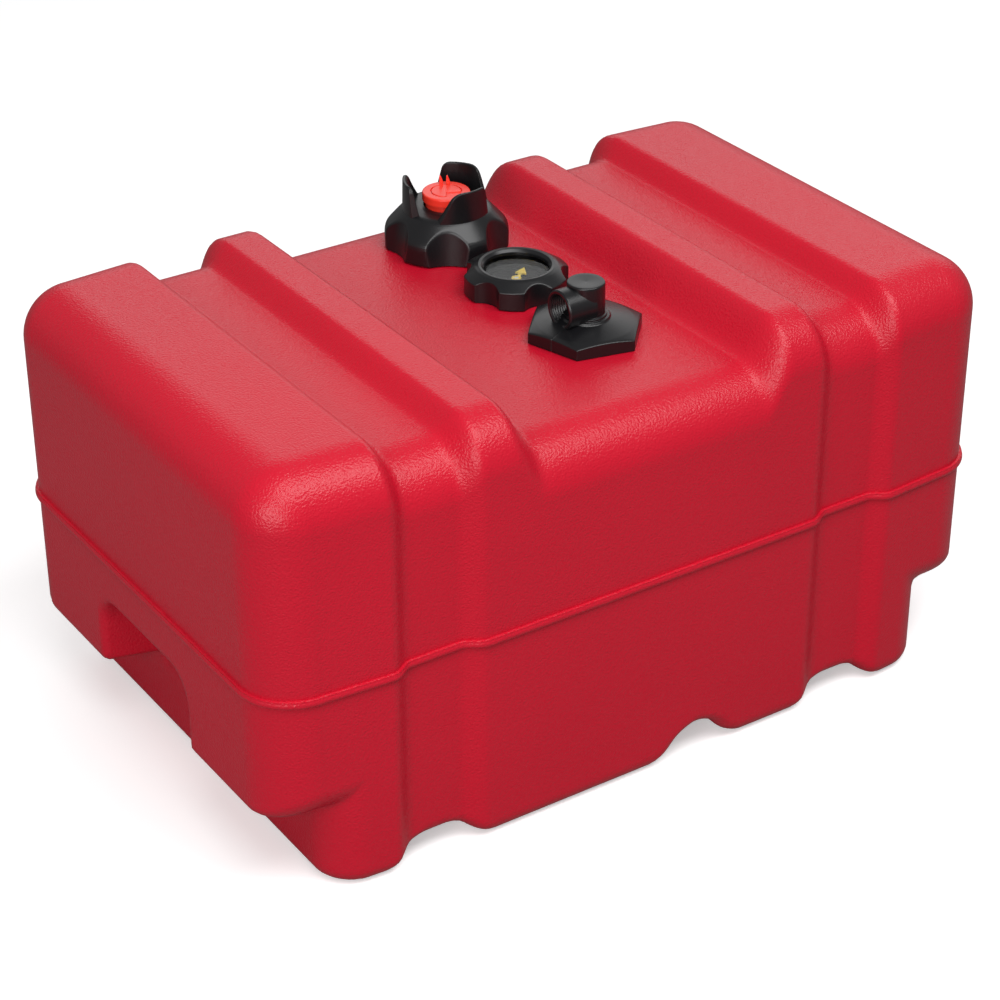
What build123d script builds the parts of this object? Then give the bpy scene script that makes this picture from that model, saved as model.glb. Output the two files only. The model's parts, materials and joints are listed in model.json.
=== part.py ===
from build123d import *
import math
import os

# Portable outboard fuel tank: a hollow blow-moulded body that stands on cross feet, with a
# vented filler cap, a float gauge and a fuel pick-up in a row on its sunken top panel.
# Millimetres. X runs along the tank, -Y is the front long side, +Z is up.
# The origin is the middle of the footprint, on the floor.

# ---------------------------------------------------------------- driving dimensions
LENGTH = 572.0            # over the two end faces
WIDTH = 357.0             # over the two long faces, without the parting bead
HEIGHT = 306.0            # floor to the top of the end blocks and ribs
WALL = 4.5                # moulded wall thickness

EDGE_R = 36.0             # radius of the long top edges
CORNER_R = 36.6           # vertical corner radius of the end blocks
SOLE_R = 12.0             # radius along the bottom edges
FOOT_CORNER_R = 28.0      # vertical corner radius of the two outer feet
END_TAPER = 3.5           # the long faces run in by this much towards each end face

PANEL_DROP = 29.0         # the middle panel lies this far below the ribs
VALLEY_DROP = 15.0        # depth of the valley across the top
VALLEY_INSET = 7.5        # depth of the same valley down the long faces
PANEL_EDGE = 85.0         # half length of the flat middle panel
RIB_IN = 109.0            # rib top, inner edge
RIB_OUT = 130.0           # rib top, outer edge
VALLEY_IN = 148.0         # valley floor, inner edge
VALLEY_OUT = 184.0        # valley floor, outer edge
BLOCK_START = 200.0       # where each end block begins
SLOPE_STEPS = 6           # short straight lofts in each flowing slope

FOOT_OUT = 246.5          # outer wall of the two outer feet
OVERHANG = 62.0           # underside of the end blocks beyond the feet
OVERHANG_R = 10.0

CHANNEL_IN = 133.0        # cross channel under each valley: its mouth and its ceiling
CHANNEL_OUT = 199.0
CHANNEL_RUN = 15.0
CHANNEL_HIGH = 15.0
MID_CHANNEL_LEFT = 10.0   # cross channel under the middle, off centre
MID_CHANNEL_RIGHT = 72.0
MID_CHANNEL_RUN = 21.0
MID_CHANNEL_HIGH = 23.0
CHANNEL_LIP = 0.3         # the rounded lips of the channels start this far below the sole
LIP_R = 11.0
CHANNEL_ROOT_R = 6.0

GRIP_HALF = 61.0          # hand grip in each end: half width at the face and at its back
GRIP_HALF_BACK = 51.0
GRIP_TOP = 118.0
GRIP_TOP_BACK = 114.0
GRIP_R = 22.0

BEAD_OUT = 3.0            # parting bead at mid height
BEAD_HIGH = 6.0
BEAD_LEVEL = 153.6
BEAD_CHAMFER = 2.0

FIT = 0.05                # radial gap of a running or push fit
LOOSE = 0.3               # gap between pieces that only pass each other

# Row of fittings on the panel, set out from the back long face
ROW_X = 25.0
CAP_FROM_BACK = 68.5
CAP_TO_GAUGE = 88.5
GAUGE_TO_PICKUP = 82.0
CAP_Y = WIDTH / 2 - CAP_FROM_BACK
GAUGE_Y = CAP_Y - CAP_TO_GAUGE
PICKUP_Y = GAUGE_Y - GAUGE_TO_PICKUP
PANEL = HEIGHT - PANEL_DROP

# Filler neck and cap; heights are above the panel
NECK_R = 30.0
NECK_WALL = 4.2
NECK_HIGH = 17.0
CAP_R = 44.0
CAP_BASE = 1.0
CAP_SKIRT_HIGH = 12.0
CAP_BEND = 2.5            # the skirt runs in by this much before the sloping shoulder
SHOULDER_LOW = 18.5
SHOULDER_HIGH = 30.0
SHOULDER_TOP_R = 30.0
CAP_TOP = 31.2
CAP_WALL = 3.0
CAP_SCALLOPS = 6
SCALLOP_HALF_DEG = 16.7
SCALLOP_R = 28.0
SCALLOP_LEAN = 10.0       # the scallops lean inwards
SCALLOP_TURN = -121.5
GASKET_HIGH = 2.5
INSERT_WALL = 3.0
INSERT_DISC = 2.5
INSERT_BASE = 4.0
RATCHET_TEETH = 24
RATCHET_HIGH = 1.4
RATCHET_R = 26.0
TOOTH_LONG = 4.0
TOOTH_WIDE = 1.6
PAWLS = 3
FINS = 3
FIN_TURN = -93.0
FIN_R = 31.2              # outer face of the grip fins
FIN_BASE_THICK = 4.4
FIN_TIP_THICK = 2.0
FIN_HALF = 20.5
FIN_TOP = 51.0
FIN_TOP_FROM = -9.0
FIN_TOP_TO = 16.5
FIN_NOSE_R = 10.0
FIN_TAIL_R = 5.0
WELL_R = 16.0
WELL_FLOOR = 26.5
WELL_PLATE = 2.5
PRESS = 3.5               # travel of the vent button
BUTTON_R = 17.0
BUTTON_SKIRT_R = 14.8
BUTTON_WALL = 2.0
BUTTON_HIGH = 6.0
BUTTON_DISC_R = 10.4
BUTTON_GROOVE = 0.8
PRONG_HIGH = 6.5
STEM_R = 2.4
STEM_SOCKET_R = 5.0
VENT_HOLE_R = 5.5
VALVE_R = 9.0
VALVE_HIGH = 2.5
CLIP_R = 5.0
CLIP_HIGH = 1.2
CLIP_GROOVE = 0.3
SPRING_R = 8.0
SPRING_WIRE_R = 0.4
SPRING_TURNS = 3.5
SPRING_STEPS = 10         # straight lengths in one turn of the wire

# Gauge
GAUGE_NECK_R = 27.0
GAUGE_BORE_R = 23.5
SHORT_NECK_HIGH = 8.0
SEAL_HIGH = 2.0
NUT_R = 36.5
NUT_LOBES = 6
NUT_TURN = -98.7
NUT_RECESS_HALF_DEG = 18.0
NUT_RECESS_DEEP = 5.5
NUT_SIDE_HIGH = 14.0
NUT_RIM_R = 26.2
NUT_RIM_HIGH = 19.3
NUT_EYE_R = 22.5
LENS_HIGH = 3.0
FLANGE_HIGH = 2.0
CUP_R = 22.5
CUP_WALL = 1.5
CUP_FLOOR = -12.0
DIAL_LEVEL = 3.0
DIAL_HIGH = 1.0
DIAL_STEP = 2.0
POINTER_LEVEL = 5.0
POINTER_HIGH = 1.2
POINTER_LONG = 19.6
POINTER_HEAD = 9.0        # length and half width of its arrowhead
POINTER_HEAD_HALF = 4.0
POINTER_ARM_HALF = 1.1
POINTER_EMPTY_DEG = 40.0  # where it points with the tank empty
HUB_R = 3.5
SPINDLE_R = 1.5
STRIP_WIDE = 6.0
STRIP_THICK = 0.8
FLOAT_TRAVEL = 165.0
SWEEP_DEG = 270.0         # pointer sweep over the whole float travel
ROD_R = 1.5
ROD_APART = 26.0
FRAME_FOOT = 44.0         # underside of the frame's foot above the floor
FRAME_FOOT_HIGH = 3.0
FRAME_FOOT_R = 18.0
FLOAT_R = 20.0
FLOAT_HIGH = 28.0
FOLLOWER_R = 8.0
FOLLOWER_HIGH = 2.0
SLOT_LOOSE = 0.3

# Fuel pick-up
PICKUP_NECK_R = 25.0
PICKUP_BORE_R = 20.0
HEX_R = 41.0              # centre to corner
HEX_TURN = 47.3
HEX_SIDE_HIGH = 9.0
HEX_CONE_HIGH = 15.0
STEM_TUBE_R = 12.8
STEM_TOP = 39.0
PORT_R = 13.9
PORT_LEVEL = 23.0
PORT_REACH = 21.5
PORT_BORE_R = 10.5
PORT_DEEP = 14.0
PASSAGE_R = 3.5
SPIGOT_R = 8.0
SPIGOT_END = -14.0
TUBE_R = 5.0
TUBE_TOP = 4.0
SCREEN_R = 9.0
SCREEN_BASE = 30.0
SCREEN_HIGH = 22.0
SCREEN_SLEEVE = 10.0
SCREEN_WALL = 1.5
SCREEN_WINDOWS = 4
WINDOW_WIDE = 7.0

os.makedirs("parts", exist_ok=True)


# ---------------------------------------------------------------- small helpers
def save(shape, name):
    export_step(shape, f"parts/{name}.step")


def rod(radius, low, high):
    """Round bar on the Z axis between two levels."""
    return Pos(0, 0, low) * Cylinder(radius, high - low, align=(Align.CENTER, Align.CENTER, Align.MIN))


def tube(outer, inner, low, high):
    """Round sleeve on the Z axis between two levels."""
    return rod(outer, low, high) - rod(inner, low - 1, high + 1)


def turned(points):
    """Solid of revolution about Z from radius and height pairs."""
    return revolve(Plane.XZ * make_face(Polyline(*points, close=True)), Axis.Z)


def around(count, first_deg):
    """Equal angles round a circle."""
    return [first_deg + i * 360.0 / count for i in range(count)]


def ease(a, b, t):
    """Flowing step from a to b."""
    return a + (b - a) * (1 - math.cos(math.pi * t)) / 2


# ---------------------------------------------------------------- tank body
def between(x, stops, values):
    """Value at distance x from the middle, eased between stops."""
    x = abs(x)
    if x <= stops[0]:
        return values[0]
    for i in range(len(stops) - 1):
        if x <= stops[i + 1]:
            t = (x - stops[i]) / (stops[i + 1] - stops[i])
            return ease(values[i], values[i + 1], t)
    return values[-1]


STOPS = [PANEL_EDGE, RIB_IN, RIB_OUT, VALLEY_IN, VALLEY_OUT, BLOCK_START]
FOOT_START = FOOT_OUT - FOOT_CORNER_R - 1     # the rounded corners start just beyond these
END_START = LENGTH / 2 - CORNER_R - 1


def side_inset(x):
    """How far the long faces stand in: the valleys, and the taper of the end blocks."""
    taper = END_TAPER * max(0, abs(x) - BLOCK_START) / (END_START - BLOCK_START)
    return taper + between(x, STOPS, [0, 0, 0, VALLEY_INSET, VALLEY_INSET, 0])


def top_drop(x):
    return between(x, STOPS, [PANEL_DROP, 0, 0, VALLEY_DROP, VALLEY_DROP, 0])


def cross_section(x, half, low, high, r_low, r_high):
    """Rounded rectangle across the tank at distance x."""
    with BuildLine(Plane.YZ.offset(x)) as outline:
        Line((half, low + r_low), (half, high - r_high))
        RadiusArc((half, high - r_high), (half - r_high, high), -r_high)
        Line((half - r_high, high), (-half + r_high, high))
        RadiusArc((-half + r_high, high), (-half, high - r_high), -r_high)
        Line((-half, high - r_high), (-half, low + r_low))
        RadiusArc((-half, low + r_low), (-half + r_low, low), -r_low)
        Line((-half + r_low, low), (half - r_low, low))
        RadiusArc((half - r_low, low), (half, low + r_low), -r_low)
    return outline.wires()[0]


def bends(x_from, x_to):
    """True where the long faces or the top flow from one level to another."""
    slopes = ((PANEL_EDGE, RIB_IN), (RIB_OUT, VALLEY_IN), (VALLEY_OUT, BLOCK_START))
    return x_from * x_to > 0 and tuple(sorted((abs(x_from), abs(x_to)))) in slopes


def loft_between(section, x_from, x_to):
    """Solid from one station to the next, in short steps where the body bends."""
    steps = SLOPE_STEPS if bends(x_from, x_to) else 1
    wires = [section(x_from + (x_to - x_from) * i / steps) for i in range(steps + 1)]
    return Solid.make_loft(wires, True)


def run(x_from, x_to, grow, low, high, r_low, r_high):
    """Stretch of the body between two stations, grown or shrunk all round."""
    def section(x):
        return cross_section(x, WIDTH / 2 - side_inset(x) + grow, low, high - top_drop(x), r_low, r_high)

    return loft_between(section, x_from, x_to)


def corner_block(x_from, x_out, half, low, high, corner_r):
    """Block at +X with rounded upright corners."""
    middle = Pos((x_from + x_out) / 2, 0, (low + high) / 2)
    block = middle * Box(x_out - x_from, 2 * half, high - low)
    return fillet(block.edges().filter_by(Axis.Z).sort_by(Axis.X)[-2:], corner_r)


def rim(block, face_index):
    """Outer edges of the top or bottom face of a corner block."""
    inner_face = block.faces().sort_by(Axis.X)[0]
    return block.faces().sort_by(Axis.Z)[face_index].edges() - inner_face.edges()


def channel(left, right, rise_run, high, grow):
    """Cutter for a cross channel: sloping sides, flat ceiling, rounded lips and roots."""
    reach = 40.0
    slope = math.hypot(rise_run, high)
    widen = grow * (slope - rise_run) / high
    low = grow - CHANNEL_LIP
    left = left - widen
    right = right + widen
    ceiling = high + grow
    profile = make_face(Plane.XZ * Polyline(
        (left - reach, low - 20), (left - reach, low), (left, low), (left + rise_run, ceiling),
        (right - rise_run, ceiling), (right, low), (right + reach, low), (right + reach, low - 20),
        close=True))
    lips = [v for v in profile.vertices() if abs(v.Z - low) < 0.1 and left - 1 < v.X < right + 1]
    profile = fillet(lips, LIP_R)
    profile = fillet(profile.vertices().sort_by(Axis.Z)[-2:], CHANNEL_ROOT_R)
    return extrude(profile, WIDTH / 2 + 20, both=True)


def grip(side, grow):
    """Cutter for the hand grip in one end: narrows inwards, rounded top, open below."""
    def mouth(x, half, top, radius):
        with BuildLine(Plane.YZ.offset(side * x)) as outline:
            Line((half, OVERHANG - 20), (half, top - radius))
            RadiusArc((half, top - radius), (half - radius, top), -radius)
            Line((half - radius, top), (-half + radius, top))
            RadiusArc((-half + radius, top), (-half, top - radius), -radius)
            Line((-half, top - radius), (-half, OVERHANG - 20))
            Line((-half, OVERHANG - 20), (half, OVERHANG - 20))
        return outline.wires()[0]

    back = mouth(FOOT_OUT - grow, GRIP_HALF_BACK + grow, GRIP_TOP_BACK + grow, GRIP_R)
    front = mouth(LENGTH / 2 + 1, GRIP_HALF + grow, GRIP_TOP + grow, GRIP_R)
    return Solid.make_loft([back, front], True)


def both_ends(pieces):
    return pieces + [mirror(piece, Plane.YZ) for piece in pieces]


def long_run(make):
    """Middle of the body between the end blocks."""
    marks = [-s for s in reversed(STOPS)] + STOPS
    return [make(a, b) for a, b in zip(marks[:-1], marks[1:])]


def body_form(grow):
    """Whole outer form of the body, or its cavity when grown by minus the wall."""
    high = HEIGHT + grow
    r_high = EDGE_R + grow
    r_sole = SOLE_R + grow
    r_hang = OVERHANG_R + grow
    middle = long_run(lambda a, b: run(a, b, grow, -grow, high, r_sole, r_high))
    over_foot = run(BLOCK_START, FOOT_START, grow, -grow, high, r_sole, r_high)
    over_hang = run(FOOT_START, END_START, grow, OVERHANG - grow, high, r_hang, r_high)
    end_half = WIDTH / 2 - side_inset(END_START) + grow
    end = corner_block(END_START, LENGTH / 2 + grow, end_half, OVERHANG - grow, high, CORNER_R + grow)
    end = fillet(rim(end, -1), r_high)
    end = fillet(rim(end, 0), r_hang)
    foot_half = WIDTH / 2 - side_inset(FOOT_START) + grow
    foot = corner_block(FOOT_START, FOOT_OUT + grow, foot_half, -grow, OVERHANG + 20, FOOT_CORNER_R + grow)
    foot = fillet(rim(foot, 0), r_sole)
    return middle + both_ends([over_foot, over_hang, end, foot])


def joined(pieces):
    whole = pieces[0]
    for piece in pieces[1:]:
        whole = whole + piece
    return whole


def cuts(grow):
    """Channels below and grips in the ends, grown for the cavity."""
    outer = channel(CHANNEL_IN, CHANNEL_OUT, CHANNEL_RUN, CHANNEL_HIGH, grow)
    middle = channel(MID_CHANNEL_LEFT, MID_CHANNEL_RIGHT, MID_CHANNEL_RUN, MID_CHANNEL_HIGH, grow)
    return [outer, mirror(outer, Plane.YZ), middle, grip(1, grow), grip(-1, grow)]


def bead():
    """Parting bead right round the body at mid height, with bevelled edges."""
    low = BEAD_LEVEL - BEAD_HIGH / 2
    high = BEAD_LEVEL + BEAD_HIGH / 2
    cut = BEAD_CHAMFER

    def section(x):
        half = WIDTH / 2 - side_inset(x) + BEAD_OUT
        corners = [(half, low + cut), (half, high - cut), (half - cut, high), (cut - half, high),
                   (-half, high - cut), (-half, low + cut), (cut - half, low), (half - cut, low)]
        return Wire(Plane.YZ.offset(x) * Polyline(*corners, close=True))

    middle = long_run(lambda a, b: loft_between(section, a, b))
    side = loft_between(section, BLOCK_START, END_START)
    end_half = WIDTH / 2 - side_inset(END_START) + BEAD_OUT
    end = corner_block(END_START, LENGTH / 2 + BEAD_OUT, end_half, low, high, CORNER_R + BEAD_OUT)
    end = chamfer(rim(end, -1), cut)
    end = chamfer(rim(end, 0), cut)
    return middle + both_ends([side, end])


tank_body = joined(body_form(0))
for cutter in cuts(0):
    tank_body = tank_body - cutter
tank_body = tank_body + joined(bead())
necks = [(CAP_Y, NECK_R, NECK_R - NECK_WALL, NECK_HIGH),
         (GAUGE_Y, GAUGE_NECK_R, GAUGE_BORE_R, SHORT_NECK_HIGH),
         (PICKUP_Y, PICKUP_NECK_R, PICKUP_BORE_R, SHORT_NECK_HIGH)]
for y, outer, inner, high in necks:
    tank_body = tank_body + Pos(ROW_X, y, 0) * rod(outer, PANEL - WALL / 2, PANEL + high)
cavity = joined(body_form(-WALL))
for cutter in cuts(WALL):
    cavity = cavity - cutter
tank_body = tank_body - cavity
for y, outer, inner, high in necks:
    tank_body = tank_body - Pos(ROW_X, y, 0) * rod(inner, PANEL - 3 * WALL, PANEL + high + 1)
save(tank_body, "tank_body")

# ---------------------------------------------------------------- filler cap
at_cap = Pos(ROW_X, CAP_Y, PANEL)
insert_r = NECK_R + INSERT_WALL
disc_under = NECK_HIGH + GASKET_HIGH
disc_top = disc_under + INSERT_DISC
teeth_top = disc_top + RATCHET_HIGH


def ratchet_block(low, high):
    """Radial block on the ratchet's circle, for a tooth or a pawl."""
    block = Box(TOOTH_LONG, TOOTH_WIDE, high - low, align=(Align.CENTER, Align.CENTER, Align.MIN))
    return Pos(RATCHET_R, 0, low) * block


cap_insert = tube(insert_r, NECK_R + FIT, INSERT_BASE, disc_top)
cap_insert = cap_insert + tube(insert_r, VENT_HOLE_R, disc_under, disc_top)
for angle in around(RATCHET_TEETH, 0):
    cap_insert = cap_insert + Rot(0, 0, angle) * ratchet_block(disc_top, teeth_top)
save(at_cap * cap_insert, "cap_insert")

cap_gasket = tube(NECK_R, NECK_R - NECK_WALL, NECK_HIGH, disc_under)
save(at_cap * cap_gasket, "cap_gasket")

# The shell rests on the insert and is held down by the lip under it
shell_in = insert_r + LOOSE
lip_in = NECK_R + 3 * LOOSE
lip_top = INSERT_BASE - LOOSE
hollow_r = RATCHET_R + TOOTH_LONG / 2 + 1.5
outside = [
    (lip_in, CAP_BASE), (CAP_R - 0.8, CAP_BASE), (CAP_R, CAP_BASE + 0.8), (CAP_R, CAP_SKIRT_HIGH),
    (CAP_R - CAP_BEND / 4, (CAP_SKIRT_HIGH + SHOULDER_LOW) / 2), (CAP_R - CAP_BEND, SHOULDER_LOW),
    (SHOULDER_TOP_R, SHOULDER_HIGH), (WELL_R + 4, CAP_TOP), (WELL_R + 0.6, CAP_TOP),
    (WELL_R, CAP_TOP - 0.6)]
inside = [
    (WELL_R, WELL_FLOOR), (STEM_R + FIT, WELL_FLOOR), (STEM_R + FIT, WELL_FLOOR - WELL_PLATE),
    (WELL_R + CAP_WALL, WELL_FLOOR - WELL_PLATE), (WELL_R + CAP_WALL, CAP_TOP - CAP_WALL),
    (hollow_r, SHOULDER_HIGH - CAP_WALL - 0.5), (hollow_r, disc_top), (shell_in, disc_top),
    (shell_in, lip_top), (lip_in, lip_top)]
filler_cap = turned(outside + inside)
scallop_edge = CAP_R * math.cos(math.radians(SCALLOP_HALF_DEG))
scallop_half = CAP_R * math.sin(math.radians(SCALLOP_HALF_DEG))
scallop_axis = scallop_edge + math.sqrt(SCALLOP_R ** 2 - scallop_half ** 2)
scoop = Pos(scallop_axis, 0, CAP_BASE) * Rot(0, -SCALLOP_LEAN, 0) * rod(SCALLOP_R, -10, CAP_TOP + 10)
for angle in around(CAP_SCALLOPS, SCALLOP_TURN):
    filler_cap = filler_cap - Rot(0, 0, angle) * scoop

fin_low = SHOULDER_HIGH - CAP_WALL - 1
fin_wall = turned([(FIN_R - FIN_BASE_THICK, fin_low), (FIN_R, fin_low), (FIN_R - 0.6, FIN_TOP + 1),
                   (FIN_R - 0.6 - FIN_TIP_THICK, FIN_TOP + 1)])
fin_plan = make_face(Plane.YZ * Polyline(
    (-FIN_HALF, fin_low), (FIN_TOP_FROM, FIN_TOP), (FIN_TOP_TO, FIN_TOP - 1), (FIN_HALF, fin_low),
    close=True))
fin_nose, fin_tail = fin_plan.vertices().sort_by(Axis.Z)[-2:].sort_by(Axis.Y)
fin_plan = fillet(fin_nose, FIN_NOSE_R)
fin_plan = fillet(fin_plan.vertices().filter_by(lambda v: v.Y > 0).sort_by(Axis.Z)[-1], FIN_TAIL_R)
fin = fin_wall & extrude(fin_plan, 2 * CAP_R)
for angle in around(FINS, FIN_TURN):
    filler_cap = filler_cap + Rot(0, 0, angle) * fin
pawl_turn = 180 / RATCHET_TEETH
for angle in around(PAWLS, pawl_turn):
    filler_cap = filler_cap + Rot(0, 0, angle) * ratchet_block(teeth_top + LOOSE, SHOULDER_HIGH - 2)
save(at_cap * filler_cap, "filler_cap")

# Vent button: its flange stands one press above the cap, its skirt reaches into the well
flange_low = CAP_TOP + PRESS + LOOSE
skirt_low = WELL_FLOOR + PRESS + LOOSE
button_top = flange_low + BUTTON_HIGH
button_ceiling = button_top - BUTTON_WALL - 0.5
groove_low = button_top - 1.2
skirt_in = BUTTON_SKIRT_R - BUTTON_WALL
vent_button = turned([
    (0, button_ceiling), (STEM_R + FIT, button_ceiling), (STEM_R + FIT, skirt_low),
    (STEM_SOCKET_R, skirt_low), (STEM_SOCKET_R, button_ceiling), (skirt_in, button_ceiling),
    (skirt_in, skirt_low), (BUTTON_SKIRT_R, skirt_low), (BUTTON_SKIRT_R, flange_low),
    (BUTTON_R, flange_low), (BUTTON_R, button_top - 1), (BUTTON_R - 1, button_top - 0.2),
    (BUTTON_DISC_R + BUTTON_GROOVE, button_top - 0.2), (BUTTON_DISC_R + BUTTON_GROOVE, groove_low),
    (BUTTON_DISC_R, groove_low), (BUTTON_DISC_R, button_top), (0, button_top)])
prong = Box(3, 1.6, PRONG_HIGH + 1, align=(Align.CENTER, Align.CENTER, Align.MIN))
prong = chamfer(prong.edges().filter_by(Axis.Y).sort_by(Axis.Z)[-2:], length=2.2, length2=0.9)
for x, y in ((3.3, 11.7), (7.4, 9.0)):
    vent_button = vent_button + Pos(x, y, button_top - 1) * Rot(0, 0, -33.6) * prong
save(at_cap * vent_button, "vent_button")

valve_low = disc_under - VALVE_HIGH
clip_low = valve_low - CLIP_HIGH
stem_waist = STEM_R - CLIP_GROOVE
vent_stem = rod(STEM_R, clip_low - 1.8, button_ceiling) - tube(STEM_R + 1, stem_waist, clip_low, valve_low)
save(at_cap * vent_stem, "vent_stem")
save(at_cap * tube(VALVE_R, STEM_R + FIT, valve_low, disc_under), "vent_valve_disc")
save(at_cap * tube(CLIP_R, stem_waist + FIT, clip_low, valve_low), "vent_clip")

# Spring round the stem, as one hexagonal bar bent in short straight lengths
spring_low = WELL_FLOOR + SPRING_WIRE_R + 0.1
spring_high = button_ceiling - SPRING_WIRE_R - 0.1
spring_steps = round(SPRING_TURNS * SPRING_STEPS)
pitch = (spring_high - spring_low) / SPRING_TURNS
wire_lean = 90 + math.degrees(math.atan2(pitch, 2 * math.pi * SPRING_R))
wire_cuts = []
for i in range(spring_steps + 1):
    turns = SPRING_TURNS * i / spring_steps
    place = Rot(0, 0, 360 * turns) * Pos(SPRING_R, 0, spring_low + pitch * turns)
    wire_cut = place * Rot(wire_lean, 0, 0) * RegularPolygon(SPRING_WIRE_R, 6)
    wire_cuts.append(wire_cut.face().outer_wire())
vent_spring = Solid.make_loft(wire_cuts, True)
save(at_cap * vent_spring, "vent_spring")

# ---------------------------------------------------------------- float gauge
at_gauge = Pos(ROW_X, GAUGE_Y, PANEL)
seal_top = SHORT_NECK_HIGH + SEAL_HIGH
flange_top = seal_top + FLANGE_HIGH
lens_top = flange_top + LENS_HIGH

nut_in = GAUGE_NECK_R + LOOSE
gauge_ring_nut = turned([
    (nut_in, 0.5), (NUT_R - 0.8, 0.5), (NUT_R, 1.3), (NUT_R, NUT_SIDE_HIGH),
    (NUT_RIM_R + 1.6, NUT_RIM_HIGH - 0.5), (NUT_RIM_R, NUT_RIM_HIGH), (NUT_RIM_R - 1.6, NUT_RIM_HIGH - 0.2),
    (NUT_EYE_R, NUT_RIM_HIGH - 1.6), (NUT_EYE_R, lens_top), (nut_in, lens_top)])
half_wide = NUT_R * math.sin(math.radians(NUT_RECESS_HALF_DEG))
recess_r = (half_wide ** 2 + NUT_RECESS_DEEP ** 2) / (2 * NUT_RECESS_DEEP)
for angle in around(NUT_LOBES, NUT_TURN):
    recess = Pos(NUT_R - NUT_RECESS_DEEP + recess_r, 0, 0) * rod(recess_r, -1, NUT_RIM_HIGH + 1)
    gauge_ring_nut = gauge_ring_nut - Rot(0, 0, angle) * recess
save(at_gauge * gauge_ring_nut, "gauge_ring_nut")

cup_in = CUP_R - CUP_WALL
floor_top = CUP_FLOOR + 2
gauge_housing = turned([
    (SPINDLE_R + FIT, CUP_FLOOR), (CUP_R, CUP_FLOOR), (CUP_R, seal_top), (GAUGE_NECK_R, seal_top),
    (GAUGE_NECK_R, flange_top), (cup_in, flange_top), (cup_in, DIAL_LEVEL), (cup_in - DIAL_STEP, DIAL_LEVEL),
    (cup_in - DIAL_STEP, floor_top), (SPINDLE_R + FIT, floor_top)])
rod_socket = rod(ROD_R + FIT, CUP_FLOOR - 1, floor_top - 0.5)
for side in (-1, 1):
    gauge_housing = gauge_housing - Pos(side * ROD_APART / 2, 0, 0) * rod_socket
save(at_gauge * gauge_housing, "gauge_housing")
save(at_gauge * tube(GAUGE_NECK_R, GAUGE_BORE_R, SHORT_NECK_HIGH, seal_top), "gauge_gasket")
save(at_gauge * rod(GAUGE_NECK_R - 0.5, flange_top, lens_top), "gauge_lens")
save(at_gauge * tube(cup_in - 0.3, 2.2, DIAL_LEVEL, DIAL_LEVEL + DIAL_HIGH), "gauge_dial")

head_start = POINTER_LONG - POINTER_HEAD
arm = make_face(Polyline(
    (0, -POINTER_ARM_HALF), (head_start, -POINTER_ARM_HALF), (head_start, -POINTER_HEAD_HALF),
    (POINTER_LONG, 0), (head_start, POINTER_HEAD_HALF), (head_start, POINTER_ARM_HALF),
    (0, POINTER_ARM_HALF), close=True))
gauge_pointer = extrude(Pos(0, 0, POINTER_LEVEL) * arm, POINTER_HIGH)
gauge_pointer = gauge_pointer + rod(HUB_R, POINTER_LEVEL - 0.6, POINTER_LEVEL + 2 * POINTER_HIGH)
gauge_pointer = gauge_pointer - rod(SPINDLE_R + FIT, POINTER_LEVEL - 2, POINTER_LEVEL + 5)
save(at_gauge * Rot(0, 0, POINTER_EMPTY_DEG) * gauge_pointer, "gauge_pointer")

# Frame below the housing; these levels are above the floor
at_frame = Pos(ROW_X, GAUGE_Y, 0)
foot_top = FRAME_FOOT + FRAME_FOOT_HIGH
guide_rods = []
for side in (-1, 1):
    guide_rod = rod(ROD_R, FRAME_FOOT, PANEL + floor_top - 0.5)
    guide_rods.append(at_frame * Pos(side * ROD_APART / 2, 0, 0) * guide_rod)
save(Compound(children=guide_rods), "gauge_guide_rods")

gauge_foot = tube(FRAME_FOOT_R, SPINDLE_R + FIT, FRAME_FOOT, foot_top)
for side in (-1, 1):
    gauge_foot = gauge_foot - Pos(side * ROD_APART / 2, 0, 0) * rod(ROD_R + FIT, FRAME_FOOT - 1, foot_top + 1)
save(at_frame * gauge_foot, "gauge_foot")

# Twisted strip: turns the pointer as the float rides along it
strip_low = foot_top + 2
strip_high = PANEL + CUP_FLOOR - 0.2
twist_rate = SWEEP_DEG / FLOAT_TRAVEL
strip_twist = twist_rate * (strip_high - strip_low)
half_strip = (strip_high - strip_low) / 2
strip_end = Rectangle(STRIP_WIDE, STRIP_THICK).wire()
half_twisted = Solid.extrude_linear_with_rotation(strip_end, (0, 0, 0), (0, 0, half_strip), strip_twist / 2)
twisted_strip = Pos(0, 0, strip_low) * half_twisted
twisted_strip = twisted_strip + Pos(0, 0, strip_low + half_strip) * Rot(0, 0, strip_twist / 2) * half_twisted
twisted_strip = twisted_strip + rod(SPINDLE_R, FRAME_FOOT + 0.5, strip_low + 0.5)
twisted_strip = twisted_strip + rod(SPINDLE_R, strip_high - 0.5, PANEL + POINTER_LEVEL + 2.4)
twisted_strip = twisted_strip + rod(3, PANEL + floor_top + 0.1, PANEL + floor_top + 2)
save(at_frame * twisted_strip, "twisted_strip")

float_top = foot_top + FLOAT_HIGH
follower_low = float_top - FOLLOWER_HIGH
float_body = rod(FLOAT_R, foot_top, float_top)
float_body = chamfer(float_body.edges().filter_by(GeomType.CIRCLE), 2)
float_body = float_body - rod(STRIP_WIDE / 2 + 1.5, foot_top - 1, float_top + 1)
float_body = float_body - rod(FOLLOWER_R + FIT, follower_low, float_top + 1)
for side in (-1, 1):
    float_body = float_body - Pos(side * ROD_APART / 2, 0, 0) * rod(ROD_R + 0.08, foot_top - 1, float_top + 1)
save(at_frame * float_body, "float")

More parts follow.
